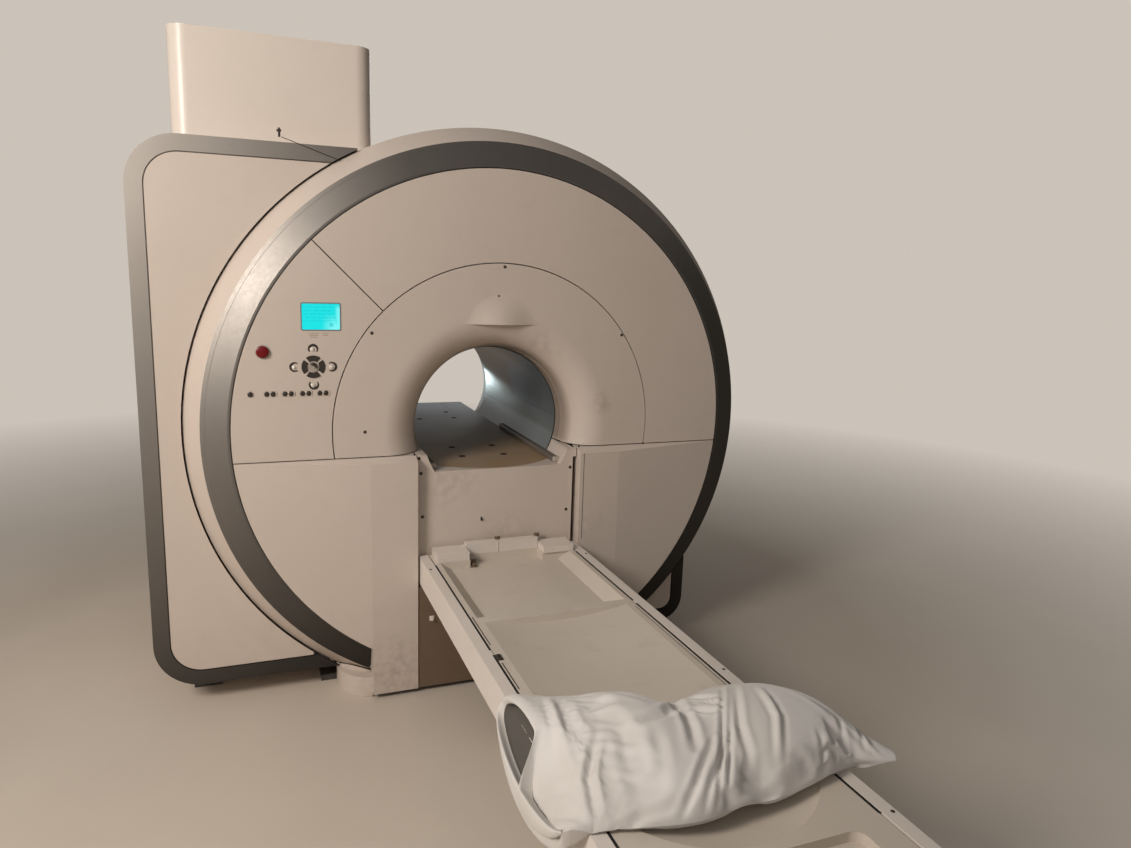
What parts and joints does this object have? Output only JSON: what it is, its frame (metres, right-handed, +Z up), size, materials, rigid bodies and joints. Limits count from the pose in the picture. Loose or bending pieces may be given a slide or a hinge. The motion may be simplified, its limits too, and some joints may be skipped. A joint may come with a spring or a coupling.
{
  "type": "magnetic resonance imaging scanner",
  "caption": "Whole-body tunnel magnet scanner with round covers, a side cabinet with a top housing, front keys and screen, and a telescoping patient table with a pillow.",
  "frame": {"origin": "on the floor straight below the magnet's isocentre, which is the middle of the bore", "axes": "+Y along the bore from the table to the back, +X to the right seen from the table, +Z up"},
  "size_m": [2.405, 3.653, 2.46],
  "materials": {
    "white_cover": "satin moulded cover",
    "grey_band": "satin grey",
    "table_white": "satin moulded cover",
    "table_top": "cream laminate",
    "liner": "glossy laminate",
    "board": "matte board",
    "rail": "matte runner",
    "display_screen": "lit screen behind a clear window",
    "stop_red": "glossy",
    "knob_grey": "matte",
    "key_dark": "matte",
    "stainless": "welded sheet",
    "aluminium_shield": "plain",
    "copper_winding": "wound and potted",
    "rod_composite": "cast resin and glass fibre",
    "cold_head_metal": "machined",
    "rubber_mount": "plain",
    "foot_steel": "painted",
    "unit_grey": "painted",
    "lift_metal": "painted",
    "frame_steel": "painted",
    "pillow_cloth": "cotton cover"
  },
  "bodies": {
    "scanner": {"turret_cover": "white_cover", "barrel_cover": "white_cover", "barrel_rim": "white_cover", "upper_cover": "white_cover", "control_cover": "white_cover", "lower_left_cover": "white_cover", "lower_right_cover": "white_cover", "bore_surround": "white_cover", "front_panel": "white_cover", "dock_cover": "white_cover", "plinth": "white_cover", "body_fronts": "white_cover", "cabinet_shell": "white_cover", "rear_covers": "white_cover", "face_ring": "grey_band", "body_band": "grey_band", "bore_liner": "liner", "bore_board": "board", "guide_rails": "rail", "display": "display_screen", "vacuum_vessel": "stainless", "service_neck": "stainless", "quench_pipe": "stainless", "helium_vessel": "stainless", "thermal_shield": "aluminium_shield", "coil_former": "aluminium_shield", "magnet_coils": "copper_winding", "suspension_rods": "rod_composite", "gradient_coil": "rod_composite", "rf_body_coil": "rod_composite", "cold_head": "cold_head_metal", "gradient_supports": "rubber_mount", "magnet_feet": "foot_steel", "rack_frame": "foot_steel", "rack_units": "unit_grey", "lift_stage_lower": "lift_metal", "table_base": "frame_steel"},
    "table": {"lift_stage_upper": "lift_metal", "table_frame": "frame_steel", "belt_drive": "rubber_mount", "side_panel_left": "table_white", "side_panel_right": "table_white", "foot_end_cover": "table_white", "tabletop": "table_top", "coil_sockets": "table_white", "pillow": "pillow_cloth"},
    "lift_middle": {"lift_stage_middle": "lift_metal"},
    "stop_button": {"stop_button": "stop_red"},
    "centre_button": {"centre_button": "knob_grey"},
    "arrow_key_1": {"arrow_key_1": "key_dark"},
    "arrow_key_2": {"arrow_key_2": "key_dark"},
    "arrow_key_3": {"arrow_key_3": "key_dark"},
    "arrow_key_4": {"arrow_key_4": "key_dark"},
    "row_key_1": {"row_key_1": "key_dark"},
    "row_key_2": {"row_key_2": "key_dark"},
    "row_key_3": {"row_key_3": "key_dark"},
    "row_key_4": {"row_key_4": "key_dark"},
    "row_key_5": {"row_key_5": "key_dark"}
  },
  "joints": [
    {"name": "table_lift", "type": "slide", "parent": "scanner", "child": "table", "axis": [0, 0, 1], "range_m": [0, 0.32]},
    {"name": "lift_middle_slide", "type": "slide", "parent": "scanner", "child": "lift_middle", "axis": [0, 0, 1], "range_m": [0, 0.16]},
    {"name": "stop_button_press", "type": "slide", "parent": "scanner", "child": "stop_button", "axis": [0, 1, 0], "range_m": [0, 0.002], "stiffness_N_per_m": 1500},
    {"name": "centre_button_press", "type": "slide", "parent": "scanner", "child": "centre_button", "axis": [0, 1, 0], "range_m": [0, 0.002], "stiffness_N_per_m": 800},
    {"name": "arrow_key_1_press", "type": "slide", "parent": "scanner", "child": "arrow_key_1", "axis": [0, 1, 0], "range_m": [0, 0.002], "stiffness_N_per_m": 800},
    {"name": "arrow_key_2_press", "type": "slide", "parent": "scanner", "child": "arrow_key_2", "axis": [0, 1, 0], "range_m": [0, 0.002], "stiffness_N_per_m": 800},
    {"name": "arrow_key_3_press", "type": "slide", "parent": "scanner", "child": "arrow_key_3", "axis": [0, 1, 0], "range_m": [0, 0.002], "stiffness_N_per_m": 800},
    {"name": "arrow_key_4_press", "type": "slide", "parent": "scanner", "child": "arrow_key_4", "axis": [0, 1, 0], "range_m": [0, 0.002], "stiffness_N_per_m": 800},
    {"name": "row_key_1_press", "type": "slide", "parent": "scanner", "child": "row_key_1", "axis": [0, 1, 0], "range_m": [0, 0.002], "stiffness_N_per_m": 800},
    {"name": "row_key_2_press", "type": "slide", "parent": "scanner", "child": "row_key_2", "axis": [0, 1, 0], "range_m": [0, 0.002], "stiffness_N_per_m": 800},
    {"name": "row_key_3_press", "type": "slide", "parent": "scanner", "child": "row_key_3", "axis": [0, 1, 0], "range_m": [0, 0.002], "stiffness_N_per_m": 800},
    {"name": "row_key_4_press", "type": "slide", "parent": "scanner", "child": "row_key_4", "axis": [0, 1, 0], "range_m": [0, 0.002], "stiffness_N_per_m": 800},
    {"name": "row_key_5_press", "type": "slide", "parent": "scanner", "child": "row_key_5", "axis": [0, 1, 0], "range_m": [0, 0.002], "stiffness_N_per_m": 800}
  ],
  "couplings": [
    {"joint": "lift_middle_slide", "follows": "table_lift", "ratio": 0.5}
  ]
}
